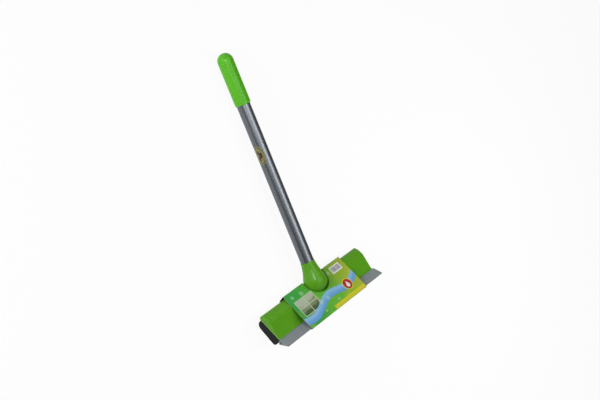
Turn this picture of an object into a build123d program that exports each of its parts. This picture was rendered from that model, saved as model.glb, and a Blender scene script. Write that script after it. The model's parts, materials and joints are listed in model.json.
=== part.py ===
from build123d import *
import os
from math import acos, asin, atan2, cos, degrees, hypot, radians, sin

# Window cleaning squeegee with a foam pad, lying on its back. Sizes are in millimetres and degrees.
# It is drawn with the handle along +Y from the centre of the neck's mouth, X across the head and +Z on
# the blade's side, then tipped on to the two places that touch the ground: the sleeve's back fold and
# the grip.

# Handle
tube_diameter = 22.0
tube_wall = 0.5
bare_tube_length = 270.5
tube_length_in_grip = 60.0
grip_diameter = 25.5
grip_length = 84.4
grip_edge_chamfer = 0.8

# Screw between handle and neck
ferrule_plug_length = 24.0
screw_length = 25.0
screw_core_diameter = 17.6
screw_socket_diameter = 20.4
screw_end_gap = 2.0
socket_floor = 2.5

# Neck: a bell that flares into a ball
neck_mouth_diameter = 23.0
flare_end_angle = 21.5
ball_diameter = 38.0
ball_depth = 33.5
neck_wall = 2.6

# Hood: a section in the pad's own frame, along the pad from its top edge and out of the pad's plane
head_length = 248.0
pad_slope = 31.8
pad_top_depth = 39.3
pad_top_drop = 13.5
hood_wall = 2.4
hood_end_wall = 2.4
hood_overhang = 4.4
hood_back_height = 2.2
hood_depth = 9.6
brow_radius = 5.0
crown_place = 11.0
crease_place = 14.5
crease_radius = 1.0
flare_start = 36.0
flare_start_height = 2.2
flare_dip = 1.2
lip_reach = 42.0
lip_height = 1.6
lip_width = 3.8
hood_end_chamfer = 1.0
rib_spacing = 25.0
rib_thickness = 1.6

# Plate and its screws
plate_thickness = 1.6
plate_inset = 2.4
screw_end_margin = 12.5
screw_count = 3
screw_place = 11.0
boss_diameter = 7.0
screw_diameter = 2.9
screw_depth = 6.6
screw_head_diameter = 5.4
screw_head_height = 1.2

# Foam pad
pad_overhang = 1.5
pad_start = 0.3
pad_past_lip = 0.4
pad_top_thickness = 13.0
pad_bottom_thickness = 16.6
pad_top_radius = 4.0
pad_bottom_radius = 5.0
pad_front_radius = 1.5

# Rubber blade and the rail it slides on
blade_overhang = 2.4
blade_tip_past_rail = 10.8
blade_tip_height = 8.8
blade_tip_thickness = 1.1
blade_root_thickness = 3.7
blade_heel_before_rail = 2.0
blade_heel_height = -5.6
rail_stand_off = 6.2
rail_neck = 1.4
rail_bead_diameter = 3.0
rail_setback = 3.0

# Card sleeve
card_thickness = 0.5
sleeve_left = -70.0
sleeve_right = 77.0
sleeve_top_radius = 1.0
sleeve_tip_radius = 0.6
sleeve_bottom_radius = 4.5
sleeve_back_radius = 5.0
sleeve_shoulder_radius = 3.0
sleeve_top_room = 2.4
sleeve_tip_room = 2.4
sleeve_back_room = 0.9
sleeve_back_inset = 2.0
sleeve_bottom_inset = 2.5
neck_cutout_gap = 1.45
cutout_diameter = 52.0
cutout_shift = 5.5
cutout_place = -1.5
cutout_floor = 4.0

# Clearances
screw_fit = 0.05
mouth_gap = 0.3
push_fit = 0.05
blade_fit = 0.3
card_gap = 0.45

tube_radius = tube_diameter / 2
tube_bore_radius = tube_radius - tube_wall
grip_radius = grip_diameter / 2
grip_start = bare_tube_length
grip_dome_start = grip_start + grip_length - grip_radius
ball_radius = ball_diameter / 2
socket_depth = screw_length + screw_end_gap
past_neck = 4 * ball_diameter
pad_length = head_length + 2 * pad_overhang
blade_length = head_length + 2 * blade_overhang
pad_end = lip_reach + pad_past_lip
rail_reach = lip_reach + rail_stand_off
blade_tip_reach = rail_reach + blade_tip_past_rail
blade_heel_reach = rail_reach - blade_heel_before_rail
brow_rise = hood_depth - hood_back_height
brow_run = crown_place + hood_overhang - brow_radius
crown_radius = (brow_run ** 2 + brow_rise ** 2 - brow_radius ** 2) / (2 * (brow_rise - brow_radius))
brow_centre = (brow_radius - hood_overhang, hood_back_height)
crown_centre = (crown_place, hood_depth - crown_radius)
slope = radians(pad_slope)
down_pad = (0, -cos(slope), sin(slope))
pad_plane = Plane(origin=(0, -pad_top_depth, -pad_top_drop), x_dir=down_pad, z_dir=(-1, 0, 0))


def turned(outline):
    # a half section, drawn along the handle and out from its axis, turned about that axis
    return revolve(Plane.YZ * outline, Axis.Y)


def across(outline, length):
    # a section in the pad's frame, carried across the head and centred on the handle
    return extrude(pad_plane * outline, length / 2, both=True)


def on_pad(x, along):
    # a place on the pad's plane, facing out of it
    place = pad_plane.from_local_coords(Vector(along, 0, -x))
    return Plane(origin=place, x_dir=(1, 0, 0), z_dir=pad_plane.y_dir)


def neck_outline(grown=0.0):
    # half section of the neck, from its mouth through the flare and round the ball
    angle = radians(flare_end_angle)
    radius = ball_radius + grown
    mouth = (0, neck_mouth_diameter / 2 + grown)
    meeting = (-ball_depth + radius * sin(angle), radius * cos(angle))
    side_angle = (angle - radians(90)) / 2
    side = (-ball_depth + radius * sin(side_angle), radius * cos(side_angle))
    bottom = (-ball_depth - radius, 0)
    flare = TangentArc(meeting, mouth, tangent=(cos(angle), -sin(angle)))
    ball = ThreePointArc(meeting, side, bottom)
    close = Polyline(bottom, (0, 0), mouth)
    return make_face([flare, ball, close])


def crease(inset):
    # where the crown turns into the slope, on the hood's skin drawn in by an inset
    angle = acos((crease_place - crown_place) / (crown_radius - inset))
    return degrees(angle), (crease_place, crown_centre[1] + (crown_radius - inset) * sin(angle))


def hood_outline(inset, floor, last):
    # the hood's skin, drawn in by an inset: the back wall, the brow, the crown and the slope's two ends
    back = inset - hood_overhang
    wall = Line((back, floor), (back, hood_back_height))
    meeting = degrees(atan2(brow_centre[1] - crown_centre[1], brow_centre[0] - crown_centre[0]))
    brow = CenterArc(brow_centre, brow_radius - inset, meeting, 180 - meeting)
    crease_angle, slope_top = crease(inset)
    crown = CenterArc(crown_centre, crown_radius - inset, crease_angle, meeting - crease_angle)
    outer_top = crease(0)[1]
    fall = (flare_start_height - outer_top[1]) / (flare_start - crease_place)
    return wall, brow, crown, slope_top, (last, slope_top[1] + fall * (last - crease_place))


def hood_solid():
    wall, brow, crown, slope_top, low = hood_outline(0, 0, flare_start)
    middle = (flare_start + lip_reach) / 2
    face = Line(slope_top, low)
    flare = ThreePointArc(low, (middle, flare_dip), (lip_reach, lip_height))
    lip_start = lip_reach - lip_width
    close = Polyline((lip_reach, lip_height), (lip_reach, -plate_thickness), (lip_start, -plate_thickness),
                     (lip_start, 0), (-hood_overhang, 0))
    outline = make_face([wall, brow, crown, face, flare, close])
    outline = fillet(outline.vertices().sort_by_distance(slope_top)[0], crease_radius)
    hood = across(outline, head_length)
    inner = head_length / 2 - hood_end_chamfer
    ends = hood.edges().filter_by(lambda edge: abs(edge.center().X) > inner)
    skin = ends.filter_by(lambda edge: pad_plane.to_local_coords(edge.center()).Y > hood_back_height / 4)
    return chamfer(skin, hood_end_chamfer)


def hood_hollow():
    # the space behind the hood's skin, between its end walls, and the core of the ball below the socket
    floor = -plate_thickness / 2
    wall, brow, crown, slope_top, low = hood_outline(hood_wall, floor, lip_reach - lip_width - hood_wall)
    face = Line(slope_top, low)
    close = Polyline(low, (low[0], floor), (-hood_overhang + hood_wall, floor))
    space = across(make_face([wall, brow, crown, face, close]), head_length - 2 * hood_end_wall)
    core = Pos(0, -ball_depth, 0) * Sphere(ball_radius - neck_wall)
    socket_end = socket_depth + socket_floor
    core -= Pos(0, past_neck / 2 - socket_end, 0) * Box(past_neck, past_neck, past_neck)
    above = Pos(hood_wall - hood_overhang - past_neck / 2, 0) * Rectangle(past_neck, past_neck)
    core -= across(above, past_neck)
    return space + core


def rib_places():
    count = int((head_length / 2 - hood_end_wall) // rib_spacing)
    return [step * rib_spacing for step in range(-count, count + 1)]


def screw_places():
    first = screw_end_margin - head_length / 2
    spacing = -2 * first / (screw_count - 1)
    return [on_pad(first + step * spacing, screw_place) for step in range(screw_count)]


def rail_outline(grown):
    # the bead and its neck, along the hood's lower lip
    bead = Pos(rail_reach, 0) * Circle(rail_bead_diameter / 2 + grown)
    length = rail_reach - lip_reach + lip_width / 2
    web = Pos(rail_reach - length / 2, 0) * Rectangle(length, rail_neck + 2 * grown)
    return bead + web


def head_hood():
    behind_pad = across(Pos(0, -past_neck / 2) * Rectangle(past_neck, past_neck), past_neck)
    neck = turned(neck_outline()) - behind_pad
    hollow = hood_hollow()
    for x in rib_places():
        hollow -= Pos(x, -pad_top_depth, 0) * Box(rib_thickness, past_neck, past_neck)
    for place in screw_places():
        hollow -= extrude(place * Circle(boss_diameter / 2), hood_depth)
    body = hood_solid() + neck - hollow
    body += across(rail_outline(0), head_length - 2 * rail_setback)
    body -= turned(Pos(-socket_depth / 2, screw_socket_diameter / 4)
                   * Rectangle(socket_depth, screw_socket_diameter / 2))
    for place in screw_places():
        body -= extrude(place * Circle(screw_diameter / 2 + screw_fit), screw_depth)
    return body


def pad_plate():
    start = plate_inset - hood_overhang
    width = lip_reach - lip_width - push_fit - start
    outline = Pos(start + width / 2, -plate_thickness / 2) * Rectangle(width, plate_thickness)
    plate = across(outline, head_length)
    for place in screw_places():
        plate -= extrude(place * Circle(screw_diameter / 2 + screw_fit), -plate_thickness)
        recess = place.offset(-plate_thickness)
        plate -= extrude(recess * Circle(screw_head_diameter / 2 + screw_fit), screw_head_height)
    return plate


def plate_screws():
    screws = []
    for place in screw_places():
        under_head = place.offset(screw_head_height - plate_thickness)
        shank = extrude(under_head * Circle(screw_diameter / 2), screw_depth - screw_fit - screw_head_height
                        + plate_thickness)
        head = extrude(under_head * Circle(screw_head_diameter / 2), -screw_head_height)
        screws.append(shank + head)
    return Compound(children=screws)


def sponge_pad():
    front = -plate_thickness
    corners = [(pad_start, front), (pad_end, front), (pad_end, front - pad_bottom_thickness),
               (pad_start, front - pad_top_thickness)]
    outline = make_face(Polyline(*corners, close=True))
    radii = [pad_front_radius, pad_front_radius, pad_bottom_radius, pad_top_radius]
    for corner, radius in zip(corners, radii):
        outline = fillet(outline.vertices().sort_by_distance(corner)[0], radius)
    return across(outline, pad_length)


def wiper_blade():
    root = lip_reach + blade_fit
    tip = (blade_tip_reach, blade_tip_height)
    back_of_tip = (blade_tip_reach + blade_tip_thickness / 2,
                   blade_tip_height - blade_tip_thickness * cos(slope))
    outline = make_face(Polyline((root, lip_height - blade_fit), tip, back_of_tip,
                                 (blade_heel_reach, blade_heel_height),
                                 (root, lip_height - blade_root_thickness), close=True))
    return across(outline - rail_outline(blade_fit), blade_length)


def sleeve_corners():
    # inside corners of the card band: top fold, fold past the blade's tip, the pad's two back corners and
    # the hood's back edge
    front = max(hood_depth, blade_tip_height) + card_gap
    top = -hood_overhang - sleeve_top_room
    plate_back = -plate_thickness
    return [((top, front), sleeve_top_radius),
            ((blade_tip_reach + sleeve_tip_room, front), sleeve_tip_radius),
            ((pad_end - sleeve_bottom_inset, plate_back - pad_bottom_thickness - card_gap),
             sleeve_bottom_radius),
            ((pad_start + sleeve_back_inset, plate_back - pad_top_thickness - sleeve_back_room),
             sleeve_back_radius),
            ((top, plate_back - card_gap), sleeve_shoulder_radius)]


def sleeve_inside():
    corners = sleeve_corners()
    outline = make_face(Polyline(*[corner for corner, radius in corners], close=True))
    for corner, radius in corners:
        outline = fillet(outline.vertices().sort_by_distance(corner)[0], radius)
    return outline


def card_sleeve():
    inside = sleeve_inside()
    band = across(offset(inside, card_thickness) - inside, sleeve_right - sleeve_left)
    band = Pos((sleeve_left + sleeve_right) / 2, 0, 0) * band
    opening = extrude(on_pad(cutout_shift, cutout_place).offset(cutout_floor) * Circle(cutout_diameter / 2), past_neck)
    return band - turned(neck_outline(neck_cutout_gap)) - opening


def thread_ferrule():
    core = screw_core_diameter / 2
    plug = tube_bore_radius - screw_fit
    outline = make_face(Polyline((ferrule_plug_length, 0), (ferrule_plug_length, plug), (mouth_gap, plug),
                                 (mouth_gap, core), (-screw_length, core), (-screw_length, 0), close=True))
    return turned(outline)


def handle_tube():
    length = bare_tube_length + tube_length_in_grip - mouth_gap
    wall = Pos(mouth_gap + length / 2, tube_radius - tube_wall / 2) * Rectangle(length, tube_wall)
    return turned(wall)


def hand_grip():
    bore = tube_radius + push_fit
    bore_end = bare_tube_length + tube_length_in_grip + push_fit
    tip = grip_start + grip_length
    side = Line((grip_start, grip_radius), (grip_dome_start, grip_radius))
    dome = CenterArc((grip_dome_start, 0), grip_radius, 0, 90)
    close = Polyline((tip, 0), (bore_end, 0), (bore_end, bore), (grip_start, bore), (grip_start, grip_radius))
    outline = make_face([side, dome, close])
    edge = outline.vertices().sort_by_distance((grip_start, grip_radius))[0]
    return turned(chamfer(edge, grip_edge_chamfer))


def rest_pose():
    # tip the tool until the sleeve's back fold and the grip both touch the ground, then bring it to z = 0
    back_corner = sleeve_corners()[3][0]
    fold = sleeve_inside().edges().filter_by(GeomType.CIRCLE).sort_by_distance(back_corner)[0]
    fold_centre = pad_plane.from_local_coords(fold.arc_center)
    fold_radius = sleeve_back_radius + card_thickness
    reach = grip_dome_start - fold_centre.Y
    tilt = asin((fold_radius - grip_radius) / hypot(fold_centre.Z, reach)) - atan2(fold_centre.Z, reach)
    return Pos(0, 0, grip_radius + grip_dome_start * sin(tilt)) * Rot(-degrees(tilt), 0, 0)


pieces = {
    "head_hood": head_hood(),
    "pad_plate": pad_plate(),
    "plate_screws": plate_screws(),
    "sponge_pad": sponge_pad(),
    "wiper_blade": wiper_blade(),
    "card_sleeve": card_sleeve(),
    "thread_ferrule": thread_ferrule(),
    "handle_tube": handle_tube(),
    "hand_grip": hand_grip(),
}

lying = rest_pose()
ends = [(lying * piece).bounding_box(optimal=True) for piece in (pieces["card_sleeve"], pieces["hand_grip"])]
middle = (ends[0].min.Y + ends[1].max.Y) / 2
place = Pos(0, -middle, 0) * lying

os.makedirs("parts", exist_ok=True)
for name, piece in pieces.items():
    export_step(place * piece, f"parts/{name}.step")
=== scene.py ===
import json
from math import cos, hypot, pi, radians, sin, tan

import bmesh
import bpy
from mathutils import Matrix, Quaternion, Vector


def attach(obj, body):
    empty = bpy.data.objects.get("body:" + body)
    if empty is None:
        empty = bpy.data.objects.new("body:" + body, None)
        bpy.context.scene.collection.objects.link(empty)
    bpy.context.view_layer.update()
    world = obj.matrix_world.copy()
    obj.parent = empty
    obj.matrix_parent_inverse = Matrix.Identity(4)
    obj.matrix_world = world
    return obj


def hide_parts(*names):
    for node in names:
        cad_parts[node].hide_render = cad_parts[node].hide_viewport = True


# Window squeegee lying on its back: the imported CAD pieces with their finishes, a foam pad, a printed card
# sleeve, the handle's screw thread and an oval sticker on the tube.
# New pieces are modelled in millimetres in the tool's or the pad's own frame, then set in the shared frame.

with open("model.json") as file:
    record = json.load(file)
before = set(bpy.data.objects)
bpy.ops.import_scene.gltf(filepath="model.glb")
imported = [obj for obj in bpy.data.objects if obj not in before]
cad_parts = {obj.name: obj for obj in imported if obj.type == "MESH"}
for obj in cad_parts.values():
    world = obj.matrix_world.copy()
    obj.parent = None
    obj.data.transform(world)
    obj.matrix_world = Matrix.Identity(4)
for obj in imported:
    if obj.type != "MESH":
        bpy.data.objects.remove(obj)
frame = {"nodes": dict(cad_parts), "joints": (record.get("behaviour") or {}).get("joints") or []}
bpy.context.view_layer.update()
print("frame loaded,", len(frame["nodes"]), "nodes")

mm = 0.001
near = 0.01  # mm, how close a corner lies to the place it is picked by
handleTurn = next(joint for joint in frame["joints"] if joint["name"] == "handle_turn")
upHandle = Vector(handleTurn["axis"])
acrossHead = Vector((1, 0, 0))
padSeat = dict(back=-39.3, drop=-13.5, slope=31.8)  # the pad's top edge from the neck's mouth, mm and degrees

toolFrame = Matrix((acrossHead, upHandle, acrossHead.cross(upHandle))).transposed().to_4x4()
toolFrame.translation = Vector(handleTurn["pos_m"])  # neck's mouth, +Y up the handle
toolFrame = toolFrame @ Matrix.Scale(mm, 4)
padFrame = (toolFrame @ Matrix.Translation((0, padSeat["back"], padSeat["drop"]))
            @ Matrix.Rotation(-radians(padSeat["slope"]), 4, "X"))  # +Y up the pad, +Z out of it


# Modelling helpers
def deselectAll():
    bpy.ops.object.select_all(action="DESELECT")


def pick(piece):
    deselectAll()
    piece.select_set(True)
    bpy.context.view_layer.objects.active = piece


def applyPlace():
    bpy.ops.object.transform_apply(location=True, rotation=True, scale=True)


def nameNew(name, size):
    # the primitive that was just added, named and at its size
    piece = bpy.context.active_object
    piece.name = name
    piece.scale = size
    applyPlace()
    return piece


def editMesh(piece):
    pick(piece)
    bpy.ops.object.mode_set(mode="EDIT")
    bpy.ops.mesh.select_all(action="DESELECT")


def leaveEdit():
    bpy.ops.object.mode_set(mode="OBJECT")


def selectMesh():
    bpy.ops.mesh.select_all(action="SELECT")


def selectEdges(piece, wanted):
    mesh = bmesh.from_edit_mesh(piece.data)
    bpy.ops.mesh.select_all(action="DESELECT")
    bpy.ops.mesh.select_mode(type="EDGE")
    for edge in mesh.edges:
        if wanted(edge.verts[0].co, edge.verts[1].co):
            edge.select_set(True)
    bmesh.update_edit_mesh(piece.data)


def bevelEdges(radius, segments):
    bpy.ops.mesh.bevel(offset=radius, segments=segments, affect="EDGES")


def extrudeEdges(step):
    bpy.ops.mesh.extrude_region_move(TRANSFORM_OT_translate={"value": step})


def turnFacesOut():
    selectMesh()
    bpy.ops.mesh.normals_make_consistent(inside=False)


def applyModifier(piece, kind, name, **settings):
    modifier = piece.modifiers.new(name, kind)
    for key, value in settings.items():
        setattr(modifier, key, value)
    pick(piece)
    bpy.ops.object.modifier_apply(modifier=name)


def smoothByAngle(piece, degrees):
    pick(piece)
    bpy.ops.object.shade_smooth_by_angle(angle=radians(degrees))


def setInFrame(piece, place):
    pick(piece)
    piece.matrix_world = place @ piece.matrix_world
    applyPlace()


# Camera at the photograph's viewing angle
view = dict(aim=(0.0228, -0.0384, 0.0346), distance=1.747, azimuth=-107.798, elevation=44.068,
            roll=81.881, lens=66.158)


def towards(azimuth, elevation):
    turn, rise = radians(azimuth), radians(elevation)
    return Vector((sin(turn) * cos(rise), -cos(turn) * cos(rise), sin(rise)))


def addCamera():
    deselectAll()
    back = towards(view["azimuth"], view["elevation"])
    bpy.ops.object.camera_add(location=Vector(view["aim"]) + back * view["distance"])
    camera = bpy.context.active_object
    camera.rotation_mode = "QUATERNION"
    upright = (-back).to_track_quat("-Z", "Y")
    camera.rotation_quaternion = upright @ Quaternion((0, 0, 1), radians(view["roll"]))
    camera.data.lens = view["lens"]
    bpy.context.scene.camera = camera


addCamera()
bpy.context.scene.view_settings.view_transform = "Standard"
print("camera set")


# Node helpers
noiseSpread = (0.3, 0.7)  # where most of a noise's values lie


def newMaterial(name, **sockets):
    material = bpy.data.materials.new(name)
    material.use_nodes = True
    shader = material.node_tree.nodes["Principled BSDF"]
    for key, value in sockets.items():
        shader.inputs[key.replace("_", " ")].default_value = value
    return material, shader


def addNode(material, kind, inputs=None, **settings):
    made = material.node_tree.nodes.new("ShaderNode" + kind)
    for key, value in settings.items():
        setattr(made, key, value)
    for key, value in (inputs or {}).items():
        if isinstance(value, bpy.types.NodeSocket):
            material.node_tree.links.new(value, made.inputs[key])
        else:
            made.inputs[key].default_value = value
    return made


def link(material, socket, node, name):
    material.node_tree.links.new(socket, node.inputs[name])


def calc(material, operation, *values):
    return addNode(material, "Math", dict(enumerate(values)), operation=operation).outputs[0]


def blend(material, first, second, share):
    rest = calc(material, "MULTIPLY", second, 1 - share)
    return calc(material, "MULTIPLY_ADD", first, share, rest)


def ramp(material, value, low, high, first=0.0, last=1.0):
    inputs = {"Value": value, "From Min": low, "From Max": high, "To Min": first, "To Max": last}
    return addNode(material, "MapRange", inputs, interpolation_type="SMOOTHSTEP").outputs[0]


def mixColour(material, factor, below, above):
    # 6, 7 and 2 are the colour sockets among those of the same names
    return addNode(material, "Mix", {0: factor, 6: below, 7: above}, data_type="RGBA").outputs[2]


def objectCoords(material, stretch=(1, 1, 1)):
    coords = addNode(material, "TexCoord").outputs["Object"]
    return addNode(material, "Mapping", {"Vector": coords, "Scale": stretch}).outputs[0]


def noise(material, vector, scale, detail=3.0, rough=0.55):
    inputs = {"Vector": vector, "Scale": scale, "Detail": detail, "Roughness": rough}
    return addNode(material, "TexNoise", inputs).outputs["Fac"]


def opaque(colour, by=1.0):
    return (*[channel * by for channel in colour], 1)


def tones(material, factor, colour, span):
    # from a darker to a lighter tone of one colour
    dark, light = span
    return mixColour(material, factor, opaque(colour, dark), opaque(colour, light))


def roughen(material, shader, value, spread, span):
    link(material, ramp(material, value, *spread, *span), shader, "Roughness")


def bump(material, shader, height, strength, distance):
    node = addNode(material, "Bump", {"Height": height, "Strength": strength, "Distance": distance})
    link(material, node.outputs[0], shader, "Normal")


def dress(node, material):
    for slot in frame["nodes"][node].material_slots:
        slot.material = material


# Floor and light: white to the camera and to reflections, with the object's soft shadow
stage = dict(floorSize=8.0, floorDrop=0.0004, whiteShare=0.93, skyLight=0.14, bump=0.05, bumpDepth=0.001)
floorWhite = dict(colour=(0.86, 0.86, 0.86), roughness=0.9, grain=90)
cardBlack = dict(colour=(0.03, 0.03, 0.03), roughness=0.9, grain=60)
softboxes = dict(  # metres, degrees and watts
    overhead=dict(aim=(0, -0.2, 0), azimuth=-90, elevation=95, distance=1.6, size=(0.9, 0.62), power=9.4),
    nearCamera=dict(aim=(0, -0.16, 0), azimuth=-127, elevation=46, distance=1.6, size=(0.44, 0.36), power=18,
                    diffuse=False),  # highlights only
    frontLeft=dict(aim=(0, 0, 0), azimuth=-112, elevation=13, distance=1.6, size=(1.1, 0.5), power=8.2),
    frontFill=dict(aim=(0, 0, 0), azimuth=-118, elevation=16, distance=1.6, size=(1.1, 0.5), power=12.3,
                   glossy=False),
    farSide=dict(aim=(0, -0.18, 0), azimuth=72, elevation=48, distance=0.9, size=(0.22, 0.22), power=2.9,
                 glossy=False),
)
darkCards = dict(  # dark sides for the tube to reflect
    farSide=dict(place=(0.6, -0.42, 1.2), width=1.4, height=2.4),
    nearSide=dict(place=(-0.5, -0.35, 0.5), width=1.3, height=1.0),
)


def seenDirectly(material):
    path = addNode(material, "LightPath")
    seen = calc(material, "MAXIMUM", path.outputs["Is Camera Ray"], path.outputs["Is Glossy Ray"])
    return calc(material, "MAXIMUM", seen, path.outputs["Is Transmission Ray"])


def stageFinish(name, finish):
    material, shader = newMaterial(name, Base_Color=opaque(finish["colour"]), Roughness=finish["roughness"])
    grain = noise(material, objectCoords(material), finish["grain"])
    bump(material, shader, grain, stage["bump"], stage["bumpDepth"])
    return material, shader


def addFloor():
    deselectAll()
    bpy.ops.mesh.primitive_plane_add(size=stage["floorSize"], location=(0, 0, -stage["floorDrop"]))
    floor = bpy.context.active_object
    floor.name = "floor"
    material, shader = stageFinish("paleFloor", floorWhite)
    glow = addNode(material, "Emission", {"Color": (1, 1, 1, 1), "Strength": 1.0})
    share = calc(material, "MULTIPLY", seenDirectly(material), stage["whiteShare"])
    mixed = addNode(material, "MixShader", {0: share, 1: shader.outputs[0], 2: glow.outputs[0]})
    link(material, mixed.outputs[0], material.node_tree.nodes["Material Output"], "Surface")
    floor.data.materials.append(material)


def addSky():
    world = bpy.data.worlds.new("sky")
    world.use_nodes = True
    bpy.context.scene.world = world
    background = world.node_tree.nodes["Background"]
    background.inputs["Color"].default_value = (1, 1, 1, 1)
    strength = ramp(world, seenDirectly(world), 0, 1, stage["skyLight"], 1.0)
    link(world, strength, background, "Strength")


def addSoftbox(name, box):
    deselectAll()
    direction = towards(box["azimuth"], box["elevation"])
    bpy.ops.object.light_add(type="AREA", location=Vector(box["aim"]) + direction * box["distance"])
    lamp = bpy.context.active_object
    lamp.name = name
    lamp.rotation_mode = "QUATERNION"
    lamp.rotation_quaternion = (-direction).to_track_quat("-Z", "Y")
    lamp.data.shape = "RECTANGLE"
    lamp.data.size, lamp.data.size_y = box["size"]
    lamp.data.energy = box["power"]
    lamp.visible_diffuse = box.get("diffuse", True)
    lamp.visible_glossy = box.get("glossy", True)


def addDarkCard(name, values):
    deselectAll()
    bpy.ops.mesh.primitive_plane_add(size=1, location=values["place"], rotation=(0, pi / 2, 0))
    card = bpy.context.active_object
    card.name = name
    card.scale = (values["height"], values["width"], 1)
    card.data.materials.append(stageFinish(name, cardBlack)[0])
    card.visible_camera = card.visible_shadow = card.visible_diffuse = False


addFloor()
addSky()
for cardName, cardValues in darkCards.items():
    addDarkCard(cardName + "Card", cardValues)
for boxName, boxValues in softboxes.items():
    addSoftbox(boxName, boxValues)
print("floor and lights set")


# Finishes of the CAD pieces
mouldings = dict(
    hoodPlastic=dict(colour=(0.087, 0.292, 0.01), roughness=0.28, grain=1300, gloss=0.16),
    gripPlastic=dict(colour=(0.086, 0.405, 0.009), roughness=0.3, grain=1100, gloss=0.22),
    platePlastic=dict(colour=(0.2, 0.29, 0.1), roughness=0.5, grain=1200, gloss=0.3),
    ferruleBlack=dict(colour=(0.025, 0.025, 0.027), roughness=0.42, grain=1500, gloss=0.4),
)
mouldSkin = dict(flow=22, flowTones=(0.9, 1.1), smoother=0.05, rougher=0.06, bump=0.035, bumpDepth=0.0003)


def mouldedPlastic(name):
    plastic, skin = mouldings[name], mouldSkin
    colour, roughness = plastic["colour"], plastic["roughness"]
    material, shader = newMaterial(name, Base_Color=opaque(colour), Roughness=roughness,
                                   Specular_IOR_Level=plastic["gloss"])
    coords = objectCoords(material)
    flow = noise(material, coords, skin["flow"], detail=4)  # slow colour flow of the mould
    link(material, tones(material, flow, colour, skin["flowTones"]), shader, "Base Color")
    grain = noise(material, coords, plastic["grain"], detail=2)
    span = (roughness - skin["smoother"], roughness + skin["rougher"])
    roughen(material, shader, grain, noiseSpread, span)
    bump(material, shader, grain, skin["bump"], skin["bumpDepth"])
    return material


tubeCoat = dict(colour=(0.148, 0.162, 0.178), metal=0.9, flakes=2600.0, flakeTones=(0.95, 1.05),
                lines=(900, 14, 900), lineSpread=(0.25, 0.75), roughness=(0.355, 0.385),
                bump=0.03, bumpDepth=0.0002)


def tubePaint():
    coat = tubeCoat
    material, shader = newMaterial("tubePaint", Base_Color=opaque(coat["colour"]), Metallic=coat["metal"],
                                   Roughness=coat["roughness"][0])
    flakes = addNode(material, "TexVoronoi", {"Vector": objectCoords(material), "Scale": coat["flakes"]})
    sparkle = addNode(material, "SeparateColor", {0: flakes.outputs["Color"]}).outputs[0]
    link(material, tones(material, sparkle, coat["colour"], coat["flakeTones"]), shader, "Base Color")
    drawn = noise(material, objectCoords(material, coat["lines"]), 1, detail=4)  # faint lines along the tube
    roughen(material, shader, drawn, coat["lineSpread"], coat["roughness"])
    bump(material, shader, drawn, coat["bump"], coat["bumpDepth"])
    return material


bladeGum = dict(colour=(0.19, 0.215, 0.23), tones=(0.82, 1.18), lines=(8, 700, 700), lineShare=0.5, dust=160,
                roughness=(0.48, 0.64), bump=0.15, bumpDepth=0.0002)


def bladeRubber():
    gum = bladeGum
    material, shader = newMaterial("bladeRubber", Base_Color=opaque(gum["colour"]),
                                   Roughness=gum["roughness"][0])
    lines = noise(material, objectCoords(material, gum["lines"]), 1, detail=4)  # lines left by the die
    dust = noise(material, objectCoords(material), gum["dust"], detail=5, rough=0.7)
    tone = blend(material, lines, dust, gum["lineShare"])
    link(material, tones(material, tone, gum["colour"], gum["tones"]), shader, "Base Color")
    roughen(material, shader, dust, noiseSpread, gum["roughness"])
    bump(material, shader, lines, gum["bump"], gum["bumpDepth"])
    return material


screwMetal = dict(colour=(0.6, 0.6, 0.6), stretch=(1, 1, 6), scratches=900, roughness=(0.25, 0.5),
                  bump=0.1, bumpDepth=0.0001)


def screwSteel():
    metal = screwMetal
    material, shader = newMaterial("screwSteel", Base_Color=opaque(metal["colour"]), Metallic=1.0,
                                   Roughness=metal["roughness"][0])
    scratches = noise(material, objectCoords(material, metal["stretch"]), metal["scratches"], detail=4)
    roughen(material, shader, scratches, noiseSpread, metal["roughness"])
    bump(material, shader, scratches, metal["bump"], metal["bumpDepth"])
    return material


ferruleBlack = mouldedPlastic("ferruleBlack")  # also on the thread
dress("head_hood", mouldedPlastic("hoodPlastic"))
dress("hand_grip", mouldedPlastic("gripPlastic"))
dress("pad_plate", mouldedPlastic("platePlastic"))
dress("thread_ferrule", ferruleBlack)
dress("handle_tube", tubePaint())
dress("wiper_blade", bladeRubber())
dress("plate_screws", screwSteel())
print("CAD pieces dressed")


# Foam pad behind the plate
foamPad = dict(
    length=251.4, top=1.0, bottom=-42.5, front=-1.25, topDepth=13.55, bottomDepth=17.15,  # in the pad's frame
    topRound=8.5, bottomRound=5.6, backSegments=8, frontRound=1.5, endRound=1.6, endAngle=60, smallSegments=3,
    voxel=0.8, unevenSize=9.0, uneven=0.35, poreSize=1.5, pore=0.45,
    colour=(0.008, 0.0105, 0.0085), tones=(0.55, 1.7), roughness=0.95, gloss=0.2,
    sheen=0.03, sheenRoughness=0.6,
    cells=900.0, cellWalls=(0.15, 0.65), worn=60, wornSpread=(0.2, 0.8), wornTones=(0.6, 1.0),
    bump=0.5, bumpDepth=0.0005,
)


def foamFinish():
    pad = foamPad
    material, shader = newMaterial("foamCells", Base_Color=opaque(pad["colour"]), Roughness=pad["roughness"],
                                   Specular_IOR_Level=pad["gloss"], Sheen_Weight=pad["sheen"],
                                   Sheen_Roughness=pad["sheenRoughness"])
    coords = objectCoords(material)
    cells = addNode(material, "TexVoronoi", {"Vector": coords, "Scale": pad["cells"]})
    walls = ramp(material, cells.outputs["Distance"], *pad["cellWalls"])
    wear = noise(material, coords, pad["worn"], detail=4)
    worn = ramp(material, wear, *pad["wornSpread"], *pad["wornTones"])
    tone = calc(material, "MULTIPLY", walls, worn)
    link(material, tones(material, tone, pad["colour"], pad["tones"]), shader, "Base Color")
    bump(material, shader, walls, pad["bump"], pad["bumpDepth"])
    return material


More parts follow.
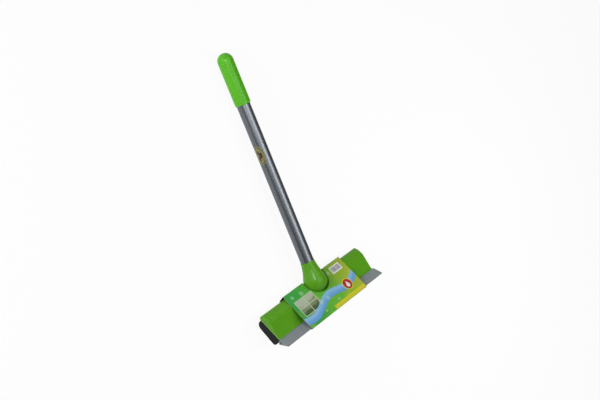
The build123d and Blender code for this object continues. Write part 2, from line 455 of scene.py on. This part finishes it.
def makeFoam():
    pad = foamPad
    middle = (pad["top"] + pad["bottom"]) / 2
    back = pad["front"] - pad["topDepth"]
    deselectAll()
    bpy.ops.mesh.primitive_cube_add(size=1, location=(0, middle, (pad["front"] + back) / 2))
    foam = nameNew("foam_pad", (pad["length"], pad["top"] - pad["bottom"], pad["topDepth"]))
    alongHead = lambda a, b: abs(a.x - b.x) > pad["length"] / 2
    behind = lambda a, b: max(a.z, b.z) < back / 2
    above = lambda a, b: min(a.y, b.y) > middle
    editMesh(foam)
    selectEdges(foam, lambda a, b: behind(a, b) and max(a.y, b.y) < middle)
    bpy.ops.transform.translate(value=(0, 0, pad["topDepth"] - pad["bottomDepth"]))  # thicker at the blade
    for upper, radius in ((True, pad["topRound"]), (False, pad["bottomRound"])):
        selectEdges(foam, lambda a, b: alongHead(a, b) and behind(a, b) and above(a, b) == upper)
        bevelEdges(radius, pad["backSegments"])
    selectEdges(foam, lambda a, b: alongHead(a, b) and a.z > pad["front"] - near)
    bevelEdges(pad["frontRound"], pad["smallSegments"])
    leaveEdit()
    applyModifier(foam, "BEVEL", "ends", width=pad["endRound"], segments=pad["smallSegments"],
                  limit_method="ANGLE", angle_limit=radians(pad["endAngle"]))
    applyModifier(foam, "REMESH", "grain", mode="VOXEL", voxel_size=pad["voxel"])
    for name, kind, size, depth in (("uneven", "CLOUDS", pad["unevenSize"], pad["uneven"]),
                                    ("pores", "VORONOI", pad["poreSize"], pad["pore"])):
        texture = bpy.data.textures.new(name, kind)
        texture.noise_scale = size
        applyModifier(foam, "DISPLACE", name, texture=texture, strength=depth, mid_level=1.0,
                      texture_coords="LOCAL")  # inwards only
    pick(foam)
    bpy.ops.object.shade_smooth()
    foam.data.materials.append(foamFinish())
    setInFrame(foam, padFrame)
    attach(foam, "head")
    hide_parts("sponge_pad")
    print("foam pad,", len(foam.data.polygons), "faces")


makeFoam()


# Card sleeve
cardSleeve = dict(
    left=-70, right=77, card=0.5, foldSegments=6, smoothAngle=25, printScale=200,
    folds=[  # up the pad, out of it and inside radius, round from the top
        (6.8, 10.05, 1.0), (-61.4, 10.05, 0.6), (-39.9, -18.65, 4.5), (-2.3, -15.5, 5.0), (6.8, -2.05, 3.0),
    ],
)
neckCut = dict(ballDepth=-33.5, ballRadius=20.45, mouthRadius=12.95, flareEnd=21.5,
               loops=6, sides=96, rings=48)
roundCut = dict(x=5.5, y=1.5, radius=26, floor=4, height=20, sides=128)  # die-cut opening in the front panel


def foldOffset(index):
    # how far a fold's rounding reaches along its two panels
    folds = cardSleeve["folds"]
    before, here, after = (Vector(folds[(index + step) % len(folds)][:2]) for step in (-1, 0, 1))
    turn = (here - before).angle(after - here)
    return folds[index][2] * tan(turn / 2)


def foldBand():
    card, folds = cardSleeve, cardSleeve["folds"]
    middle = ((card["left"] + card["right"]) / 2, (folds[0][0] + folds[1][0]) / 2, folds[0][1])
    deselectAll()
    bpy.ops.mesh.primitive_plane_add(size=1, location=middle)
    band = nameNew("card_band", (card["right"] - card["left"], folds[0][0] - folds[1][0], 1))
    atFold = lambda point, fold: hypot(point.y - fold[0], point.z - fold[1]) < near
    editMesh(band)
    for index in range(1, len(folds)):  # round the head from the fold past the blade, back to the top
        here, following = folds[index], folds[(index + 1) % len(folds)]
        selectEdges(band, lambda a, b: atFold(a, here) and atFold(b, here))
        extrudeEdges((0, following[0] - here[0], following[1] - here[1]))
    selectMesh()
    bpy.ops.mesh.remove_doubles(threshold=near)
    for index, fold in enumerate(folds):
        selectEdges(band, lambda a, b: atFold(a, fold) and atFold(b, fold))
        bevelEdges(foldOffset(index), card["foldSegments"])
    turnFacesOut()
    leaveEdit()
    return band


def sectionOrder(band):
    # one end's corners in order round the section, from the top fold down the front
    mesh = bmesh.new()
    mesh.from_mesh(band.data)
    atEnd = lambda vert: abs(vert.co.x - cardSleeve["left"]) < near
    rim = [edge for edge in mesh.edges if all(atEnd(vert) for vert in edge.verts)]
    first = max((vert for edge in rim for vert in edge.verts), key=lambda vert: (vert.co.z, vert.co.y))
    order = [first]
    while len(order) < len(rim):
        beside = [edge.other_vert(order[-1]) for edge in order[-1].link_edges if edge in rim]
        fresh = [vert for vert in beside if vert not in order]
        order.append(min(fresh, key=lambda vert: vert.co.y - vert.co.z))
    points = [(vert.co.y, vert.co.z) for vert in order]
    mesh.free()
    return points


def layPrint(band):
    # UV map of the flat card: across the head, and round the section from the top fold
    left, scale = cardSleeve["left"], cardSleeve["printScale"]
    points = sectionOrder(band)
    around, total = {}, 0
    for index, point in enumerate(points):
        around[(round(point[0], 2), round(point[1], 2))] = total
        following = points[(index + 1) % len(points)]
        total += hypot(following[0] - point[0], following[1] - point[1])
    layer = band.data.uv_layers.new(name="print")
    for face in band.data.polygons:
        corners = [band.data.vertices[band.data.loops[loop].vertex_index].co for loop in face.loop_indices]
        lengths = [around[(round(corner.y, 2), round(corner.z, 2))] for corner in corners]
        for loop, corner, length in zip(face.loop_indices, corners, lengths):
            if length == 0 and max(lengths) > total / 2:
                length = total  # the last panel closes on the first fold
            layer.data[loop].uv = ((corner.x - left) / scale, length / scale)
    print("sleeve section", round(total, 1), "mm round")


def neckCutter():
    cut = neckCut
    deselectAll()
    bpy.ops.mesh.primitive_uv_sphere_add(segments=cut["sides"], ring_count=cut["rings"],
                                         radius=cut["ballRadius"])
    cutter = bpy.context.active_object
    angle = radians(cut["flareEnd"])
    seam = cut["ballRadius"] * sin(angle)
    seamRadius = cut["ballRadius"] * cos(angle)
    editMesh(cutter)
    selectMesh()
    bpy.ops.mesh.bisect(plane_co=(0, 0, seam), plane_no=(0, 0, 1), clear_outer=True)
    rise = -cut["ballDepth"] - seam
    bend = tan(angle) * rise - (seamRadius - cut["mouthRadius"])
    radius, height = seamRadius, seam
    atRim = lambda a, b: min(a.z, b.z) > height - near
    for step in range(1, cut["loops"] + 1):  # the bell, in one arc from the ball's tangent up to the mouth
        share = step / cut["loops"]
        straight = seamRadius + share * (cut["mouthRadius"] - seamRadius)
        nextRadius = straight - bend * share * (1 - share)
        selectEdges(cutter, atRim)
        extrudeEdges((0, 0, rise / cut["loops"]))
        bpy.ops.transform.resize(value=(nextRadius / radius, nextRadius / radius, 1))
        radius, height = nextRadius, height + rise / cut["loops"]
    selectEdges(cutter, atRim)
    bpy.ops.mesh.edge_face_add()
    turnFacesOut()
    leaveEdit()
    alongHandle = Matrix.Translation((0, cut["ballDepth"], 0)) @ Matrix.Rotation(-pi / 2, 4, "X")
    setInFrame(cutter, alongHandle)
    setInFrame(cutter, padFrame.inverted() @ toolFrame)
    return cutter


def roundCutter():
    cut = roundCut
    middle = (cut["x"], cut["y"], cut["floor"] + cut["height"] / 2)
    deselectAll()
    bpy.ops.mesh.primitive_cylinder_add(vertices=cut["sides"], radius=cut["radius"], depth=cut["height"],
                                        location=middle)
    applyPlace()
    return bpy.context.active_object


plainStock = dict(
    # inside: the card's own grey darkened near black, painted shade inside the sleeve
    inside=(0.12, 0.115, 0.1), edge=(0.28, 0.27, 0.23), tones=(0.82, 1.12),
    fibreStretch=(1, 2.5, 2.5), fibres=700, fibreShare=0.7, blotch=45,
    roughness=(0.78, 0.92), bump=0.25, bumpDepth=0.0002,
)


def plainCard(name, colour):
    stock = plainStock
    material, shader = newMaterial(name, Base_Color=opaque(colour), Roughness=stock["roughness"][0])
    fibreCoords = objectCoords(material, stock["fibreStretch"])
    fibres = noise(material, fibreCoords, stock["fibres"], detail=5, rough=0.7)
    blotch = noise(material, objectCoords(material), stock["blotch"])
    tone = blend(material, fibres, blotch, stock["fibreShare"])
    link(material, tones(material, tone, colour, stock["tones"]), shader, "Base Color")
    roughen(material, shader, fibres, noiseSpread, stock["roughness"])
    bump(material, shader, fibres, stock["bump"], stock["bumpDepth"])
    return material


# Print on the sleeve, in millimetres from its left edge and from its top fold
artwork = dict(
    green=(0.036, 0.29, 0.045), leaf=(0.1, 0.38, 0.03), lime=(0.3, 0.4, 0.03), glow=(0.5, 0.5, 0.03),
    water=(0.08, 0.27, 0.54), paleWater=(0.22, 0.42, 0.65), bubble=(0.45, 0.62, 0.4),
    haze=(0.36, 0.42, 0.3), hill=(0.17, 0.22, 0.11), shrub=(0.03, 0.075, 0.025), frame=(0.46, 0.5, 0.38),
    yellow=(0.56, 0.5, 0.02), badge=(0.36, 0.018, 0.028), white=(0.74, 0.74, 0.68), ink=(0.06, 0.05, 0.11),
    width=cardSleeve["right"] - cardSleeve["left"], edge=0.45,
    ground=dict(cloud=0.03, cloudShare=0.5, leaf=(0.3, 0.75), lime=(0.75, 1.25),
                light=0.022, glow=(0.5, 0.75), glowShare=0.5),
    window=dict(left=9, right=50, top=18, bottom=46, rim=1.2, bar=0.7, frameShare=0.9),
    hills=dict(size=0.05, swing=26, far=(37, 49), near=(49, 55), nearShare=0.9),
    wave=dict(level=47, height=13, swing=5, length=96, fall=0.12, soft=0.9, pale=1.0,
              ripple=3.6, rippleWidth=1.0, rippleShare=0.45),
    bubbles=dict(size=0.055, scatter=0.8, rarity=0.45, smallest=-0.1, largest=0.2, rim=0.05, soft=0.02,
                 fillShare=0.3, rimShare=0.45),
    strip=dict(left=66, right=150, top=59.5, bottom=66, hatch=2.6, hatchLine=(1.6, 2.0), hatchShare=0.35),
    badgeDisc=dict(x=120, y=44, radius=9, rim=1.6, dropLow=0.22, dropSize=0.42, dropTip=0.66, dropSlant=0.45,
                   dropShare=0.85),
    patch=dict(left=112, right=137, top=5, bottom=18, margin=2.0,
               barScale=1.1, bars=(0.42, 0.5), barShare=0.85),
    gloss=0.25, roughness=(0.36, 0.5), fibres=1.6, bump=0.05, bumpDepth=0.0003,
)


def within(material, value, low, high, soft):
    rising = ramp(material, value, low - soft, low + soft)
    falling = ramp(material, value, high - soft, high + soft, 1.0, 0.0)
    return calc(material, "MULTIPLY", rising, falling)


def oblong(material, x, y, box, grow, soft):
    wide = within(material, x, box["left"] - grow, box["right"] + grow, soft)
    tall = within(material, y, box["top"] - grow, box["bottom"] + grow, soft)
    return calc(material, "MULTIPLY", wide, tall)


def disc(material, x, y, centreX, centreY, radius, soft):
    dx = calc(material, "SUBTRACT", x, centreX)
    dy = calc(material, "SUBTRACT", y, centreY)
    squares = calc(material, "MULTIPLY_ADD", dx, dx, calc(material, "MULTIPLY", dy, dy))
    return ramp(material, calc(material, "SQRT", squares), radius - soft, radius + soft, 1.0, 0.0)


def ink(material, mask, below, name, share=1.0):
    return mixColour(material, calc(material, "MULTIPLY", mask, share), below, opaque(artwork[name]))


def printGround(material, sheet, x):
    ground = artwork["ground"]
    cloud = noise(material, sheet, ground["cloud"], detail=2)
    cloud = calc(material, "MULTIPLY", cloud, ground["cloudShare"])
    drift = calc(material, "MULTIPLY_ADD", x, 1 / artwork["width"], cloud)
    colour = ink(material, ramp(material, drift, *ground["leaf"]), opaque(artwork["green"]), "leaf")
    colour = ink(material, ramp(material, drift, *ground["lime"]), colour, "lime")
    light = ramp(material, noise(material, sheet, ground["light"], detail=1), *ground["glow"])
    return ink(material, light, colour, "glow", ground["glowShare"])


def printWindow(material, colour, sheet, x, y):
    # hills in a haze, seen through a window of four panes
    pane, hills, soft = artwork["window"], artwork["hills"], artwork["edge"]
    rise = calc(material, "MULTIPLY_ADD", noise(material, sheet, hills["size"]), hills["swing"], y)
    outdoors = ink(material, ramp(material, rise, *hills["far"]), opaque(artwork["haze"]), "hill")
    outdoors = ink(material, ramp(material, rise, *hills["near"]), outdoors, "shrub", hills["nearShare"])
    surround = oblong(material, x, y, pane, pane["rim"], soft)
    colour = ink(material, surround, colour, "frame", pane["frameShare"])
    barX, barY = (pane["left"] + pane["right"]) / 2, (pane["top"] + pane["bottom"]) / 2
    upright = within(material, x, barX - pane["bar"], barX + pane["bar"], soft)
    level = within(material, y, barY - pane["bar"], barY + pane["bar"], soft)
    clear = calc(material, "SUBTRACT", 1.0, calc(material, "MAXIMUM", upright, level))
    glass = calc(material, "MULTIPLY", oblong(material, x, y, pane, 0, soft), clear)
    return mixColour(material, glass, colour, outdoors)


def printWave(material, colour, x, y):
    # water running across below the neck, paler at its upper edge
    wave = artwork["wave"]
    phase = calc(material, "SINE", calc(material, "MULTIPLY", x, 2 * pi / wave["length"]))
    level = calc(material, "MULTIPLY_ADD", phase, wave["swing"], wave["level"])
    depth = calc(material, "SUBTRACT", y, calc(material, "MULTIPLY_ADD", x, -wave["fall"], level))
    deeper = ramp(material, depth, wave["pale"], wave["height"])
    water = ink(material, deeper, opaque(artwork["paleWater"]), "water")
    ripple = calc(material, "PINGPONG", depth, wave["ripple"])
    crest = ramp(material, ripple, wave["ripple"] - wave["rippleWidth"], wave["ripple"])
    water = ink(material, crest, water, "paleWater", wave["rippleShare"])
    return mixColour(material, within(material, depth, 0, wave["height"], wave["soft"]), colour, water)


def printBubbles(material, colour, sheet):
    froth = artwork["bubbles"]
    soft = froth["soft"]
    inputs = {"Vector": sheet, "Scale": froth["size"], "Randomness": froth["scatter"]}
    cells = addNode(material, "TexVoronoi", inputs, voronoi_dimensions="2D")
    chance = addNode(material, "SeparateColor", {0: cells.outputs["Color"]}).outputs[0]
    radius = ramp(material, chance, froth["rarity"], 1.0, froth["smallest"], froth["largest"])
    reach = calc(material, "SUBTRACT", cells.outputs["Distance"], radius)
    inside = ramp(material, reach, -soft, soft, 1.0, 0.0)
    colour = ink(material, inside, colour, "bubble", froth["fillShare"])
    return ink(material, within(material, reach, -froth["rim"], 0, soft), colour, "bubble", froth["rimShare"])


def printStrip(material, colour, x, y):
    box = artwork["strip"]
    hatch = calc(material, "PINGPONG", calc(material, "SUBTRACT", x, y), box["hatch"])
    lines = ramp(material, hatch, *box["hatchLine"])
    gold = ink(material, lines, opaque(artwork["yellow"]), "lime", box["hatchShare"])
    return mixColour(material, oblong(material, x, y, box, 0, artwork["edge"]), colour, gold)


def printBadge(material, colour, x, y):
    # a drop in a rimmed disc
    mark, soft = artwork["badgeDisc"], artwork["edge"]
    placeX, placeY, radius = mark["x"], mark["y"], mark["radius"]
    colour = ink(material, disc(material, x, y, placeX, placeY, radius + mark["rim"], soft), colour, "yellow")
    colour = ink(material, disc(material, x, y, placeX, placeY, radius, soft), colour, "badge")
    belly = disc(material, x, y, placeX, placeY + radius * mark["dropLow"], radius * mark["dropSize"], soft)
    tip = placeY - radius * mark["dropTip"]
    slant = calc(material, "MULTIPLY", calc(material, "SUBTRACT", y, tip), mark["dropSlant"])
    aside = calc(material, "ABSOLUTE", calc(material, "SUBTRACT", x, placeX))
    point = ramp(material, calc(material, "SUBTRACT", aside, slant), -soft, soft, 1.0, 0.0)
    point = calc(material, "MULTIPLY", point, within(material, y, tip, placeY + soft, soft))
    return ink(material, calc(material, "MAXIMUM", belly, point), colour, "white", mark["dropShare"])


def printPatch(material, colour, x, y):
    # white patch with plain bars
    box, soft = artwork["patch"], artwork["edge"]
    colour = ink(material, oblong(material, x, y, box, 0, soft), colour, "white")
    inputs = {"W": x, "Scale": box["barScale"], "Detail": 0.0}
    rows = addNode(material, "TexNoise", inputs, noise_dimensions="1D").outputs["Fac"]
    printed = oblong(material, x, y, box, -box["margin"], soft)
    bars = calc(material, "MULTIPLY", ramp(material, rows, *box["bars"]), printed)
    return ink(material, bars, colour, "ink", box["barShare"])


def printedCard():
    material, shader = newMaterial("printedCard", Roughness=artwork["roughness"][0],
                                   Specular_IOR_Level=artwork["gloss"])
    flat = addNode(material, "UVMap", uv_map="print").outputs[0]
    scale = (cardSleeve["printScale"],) * 3
    sheet = addNode(material, "Mapping", {"Vector": flat, "Scale": scale}).outputs[0]
    spot = addNode(material, "SeparateXYZ", {0: sheet})
    x, y = spot.outputs[0], spot.outputs[1]
    colour = printGround(material, sheet, x)
    colour = printWindow(material, colour, sheet, x, y)
    colour = printWave(material, colour, x, y)
    colour = printBubbles(material, colour, sheet)
    colour = printStrip(material, colour, x, y)
    colour = printBadge(material, colour, x, y)
    colour = printPatch(material, colour, x, y)
    link(material, colour, shader, "Base Color")
    fibres = noise(material, sheet, artwork["fibres"], detail=4, rough=0.65)
    roughen(material, shader, fibres, noiseSpread, artwork["roughness"])
    bump(material, shader, fibres, artwork["bump"], artwork["bumpDepth"])
    return material


def makeSleeve():
    sleeve = foldBand()
    layPrint(sleeve)
    # the inside's colour is plain card grey with painted shade
    for material in (printedCard(), plainCard("cardInsidePaintedShade", plainStock["inside"]),
                     plainCard("cardEdge", plainStock["edge"])):
        sleeve.data.materials.append(material)
    applyModifier(sleeve, "SOLIDIFY", "card", thickness=cardSleeve["card"], offset=1, use_even_offset=True,
                  material_offset=1, material_offset_rim=2)
    for cutter in (neckCutter(), roundCutter()):
        for material in sleeve.data.materials:
            cutter.data.materials.append(material)
        for face in cutter.data.polygons:
            face.material_index = 2  # cut edges show the card's edge
        applyModifier(sleeve, "BOOLEAN", "opening", object=cutter, operation="DIFFERENCE", solver="EXACT",
                      material_mode="INDEX")
        bpy.data.objects.remove(cutter)
    smoothByAngle(sleeve, cardSleeve["smoothAngle"])
    setInFrame(sleeve, padFrame)
    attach(sleeve, "head")
    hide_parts("card_sleeve")
    print("card sleeve,", len(sleeve.data.polygons), "faces")


makeSleeve()


# Coarse thread on the handle's screw end
screwThread = dict(root=8.5, crest=9.95, rootWidth=2.4, crestWidth=1.2, pitch=5.0, turns=4, start=-23.4,
                   steps=60, merge=0.001, smoothAngle=30)


def makeThread():
    cut = screwThread
    deselectAll()
    bpy.ops.mesh.primitive_plane_add(size=1, location=((cut["root"] + cut["crest"]) / 2, cut["start"], 0))
    thread = nameNew("screw_thread", (cut["crest"] - cut["root"], cut["rootWidth"], 1))
    editMesh(thread)
    selectEdges(thread, lambda a, b: min(a.x, b.x) > cut["crest"] - near)
    bpy.ops.transform.resize(value=(1, cut["crestWidth"] / cut["rootWidth"], 1))
    leaveEdit()
    applyModifier(thread, "SCREW", "helix", axis="Y", screw_offset=cut["pitch"], iterations=cut["turns"],
                  steps=cut["steps"], render_steps=cut["steps"], use_merge_vertices=True)
    editMesh(thread)
    selectMesh()
    bpy.ops.mesh.remove_doubles(threshold=cut["merge"])
    bpy.ops.mesh.fill_holes(sides=4)  # the helix's two ends
    turnFacesOut()
    leaveEdit()
    smoothByAngle(thread, cut["smoothAngle"])
    thread.data.materials.append(ferruleBlack)
    setInFrame(thread, toolFrame)
    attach(thread, "handle")
    print("screw thread,", len(thread.data.polygons), "faces")


makeThread()


# Oval sticker on the tube, to the left of its top
tubeSticker = dict(
    along=187.5, turn=-79, width=18, length=31, thick=0.1, tube=11.0, lift=0.03,
    rings=5, sides=72, smoothAngle=30,
    film=(0.17, 0.17, 0.055), filmTones=(0.9, 1.12), mark=(0.045, 0.012, 0.01), grain=500,
    rimOutside=0.44, rimInside=0.41, rimSoft=0.01, dropSoft=0.015,
    drops=[(0.4, 0.33, 0.12), (0.6, 0.5, 0.16), (0.4, 0.66, 0.11)],  # across, along and radius, as shares
    roughness=(0.3, 0.42), coat=0.3, coatRoughness=0.1, bump=0.05, bumpDepth=0.0002,
)
half = 0.5  # the flat sticker is a disc one unit across


def stickerFilm():
    film = tubeSticker
    mark = opaque(film["mark"])
    material, shader = newMaterial("stickerFilm", Roughness=film["roughness"][0], Coat_Weight=film["coat"],
                                   Coat_Roughness=film["coatRoughness"])
    flat = addNode(material, "UVMap", uv_map="print").outputs[0]
    spot = addNode(material, "SeparateXYZ", {0: flat})
    x, y = spot.outputs[0], spot.outputs[1]
    grain = noise(material, objectCoords(material), film["grain"])
    colour = tones(material, grain, film["film"], film["filmTones"])
    outside = disc(material, x, y, half, half, film["rimOutside"], film["rimSoft"])
    inside = disc(material, x, y, half, half, film["rimInside"], film["rimSoft"])
    colour = mixColour(material, calc(material, "SUBTRACT", outside, inside), colour, mark)
    for dropX, dropY, radius in film["drops"]:
        drop = disc(material, x, y, dropX, dropY, radius, film["dropSoft"])
        colour = mixColour(material, drop, colour, mark)
    link(material, colour, shader, "Base Color")
    roughen(material, shader, grain, noiseSpread, film["roughness"])
    bump(material, shader, grain, film["bump"], film["bumpDepth"])
    return material


def makeSticker():
    film = tubeSticker
    deselectAll()
    bpy.ops.mesh.primitive_circle_add(vertices=film["sides"], radius=half, fill_type="NGON")
    sticker = bpy.context.active_object
    sticker.name = "tube_sticker"
    editMesh(sticker)
    selectMesh()
    for ring in range(film["rings"]):
        bpy.ops.mesh.inset(thickness=half / (film["rings"] + 1), depth=0)
    bpy.ops.mesh.poke()
    leaveEdit()
    layer = sticker.data.uv_layers.new(name="print")
    for loop in sticker.data.loops:
        spot = sticker.data.vertices[loop.vertex_index].co
        layer.data[loop.index].uv = (spot.x + half, spot.y + half)
    outside = film["tube"] + film["lift"]
    for vertex in sticker.data.vertices:  # wrapped round the tube
        angle = radians(film["turn"]) + vertex.co.x * film["width"] / outside
        vertex.co = (outside * sin(angle), film["along"] + vertex.co.y * film["length"], outside * cos(angle))
    applyModifier(sticker, "SOLIDIFY", "film", thickness=film["thick"], offset=1)
    smoothByAngle(sticker, film["smoothAngle"])
    sticker.data.materials.append(stickerFilm())
    setInFrame(sticker, toolFrame)
    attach(sticker, "handle")
    print("tube sticker,", len(sticker.data.polygons), "faces")


makeSticker()

bpy.context.view_layer.update()
